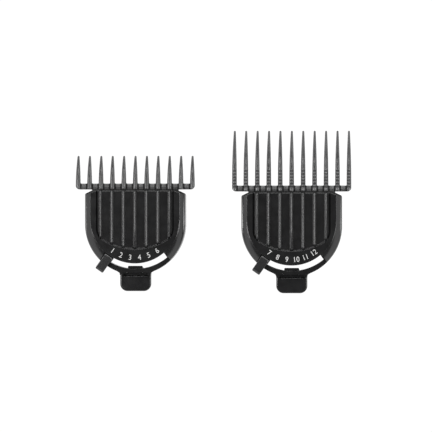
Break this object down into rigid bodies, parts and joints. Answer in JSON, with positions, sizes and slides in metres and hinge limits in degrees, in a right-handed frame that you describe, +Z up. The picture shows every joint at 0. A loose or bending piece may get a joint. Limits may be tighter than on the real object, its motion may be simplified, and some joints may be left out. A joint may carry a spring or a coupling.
{
  "type": "hair clipper guide comb set",
  "caption": "Two adjustable hair clipper guide combs, short and long. A lever on each turns a cam that slides the toothed comb; a sprung latch clips it to the clipper.",
  "frame": {"origin": "on the table under the middle of the pair, where both combs lie clipper side down", "axes": "+Z up from the table, +Y towards the teeth, +X from the short comb to the long comb"},
  "size_m": [0.1078, 0.0636, 0.0107],
  "materials": {
    "frame_plastic": "fine moulded texture, satin",
    "comb_plastic": "smooth satin",
    "back_plastic": "matt",
    "lever_plastic": "satin",
    "knob_plastic": "fine moulded texture, satin",
    "latch_plastic": "fine moulded texture, satin",
    "bush_plastic": "natural acetal, smooth",
    "steel": "bright zinc",
    "scale_ink": "white printed numerals"
  },
  "bodies": {
    "short_frame_body": {"short_frame": "frame_plastic", "short_back_plate": "back_plastic", "short_pivot_bush": "bush_plastic", "short_pivot_screw": "steel", "short_back_screw_left": "steel", "short_back_screw_right": "steel", "short_latch_pin": "steel", "short_latch_spring": "steel"},
    "short_comb_body": {"short_tooth_comb": "comb_plastic"},
    "short_lever_body": {"short_cam_lever": "lever_plastic", "short_lever_knob": "knob_plastic", "short_detent_spring": "steel"},
    "short_latch_body": {"short_release_latch": "latch_plastic"},
    "long_frame_body": {"long_frame": "frame_plastic", "long_back_plate": "back_plastic", "long_pivot_bush": "bush_plastic", "long_pivot_screw": "steel", "long_back_screw_left": "steel", "long_back_screw_right": "steel", "long_latch_pin": "steel", "long_latch_spring": "steel"},
    "long_comb_body": {"long_tooth_comb": "comb_plastic"},
    "long_lever_body": {"long_cam_lever": "lever_plastic", "long_lever_knob": "knob_plastic", "long_detent_spring": "steel"},
    "long_latch_body": {"long_release_latch": "latch_plastic"}
  },
  "joints": [
    {"name": "short_lever_turn", "type": "hinge", "parent": "short_frame_body", "child": "short_lever_body", "pos_m": [-0.0306, -0.00275, 0.008], "axis": [0, 0, 1], "range_deg": [0, 70]},
    {"name": "short_comb_slide", "type": "slide", "parent": "short_frame_body", "child": "short_comb_body", "axis": [0, 1, 0], "range_m": [0, 0.005]},
    {"name": "short_latch_tilt", "type": "hinge", "parent": "short_frame_body", "child": "short_latch_body", "pos_m": [-0.0306, -0.02295, 0.0052], "axis": [-1, 0, 0], "range_deg": [0, 8], "stiffness_Nm_per_rad": 0.01, "springref_deg": -5.73},
    {"name": "long_comb_lift", "type": "slide", "parent": "short_frame_body", "child": "long_frame_body", "axis": [0, 0, 1], "range_m": [0, 0.03]},
    {"name": "long_lever_turn", "type": "hinge", "parent": "long_frame_body", "child": "long_lever_body", "pos_m": [0.0306, -0.00355, 0.008], "axis": [0, 0, 1], "range_deg": [0, 70]},
    {"name": "long_comb_slide", "type": "slide", "parent": "long_frame_body", "child": "long_comb_body", "axis": [0, 1, 0], "range_m": [0, 0.005]},
    {"name": "long_latch_tilt", "type": "hinge", "parent": "long_frame_body", "child": "long_latch_body", "pos_m": [0.0306, -0.02375, 0.0052], "axis": [-1, 0, 0], "range_deg": [0, 8], "stiffness_Nm_per_rad": 0.01, "springref_deg": -5.73}
  ],
  "couplings": [
    {"joint": "short_lever_turn", "follows": "short_comb_slide", "rad_per_m": 244.34},
    {"joint": "long_lever_turn", "follows": "long_comb_slide", "rad_per_m": 244.34}
  ]
}
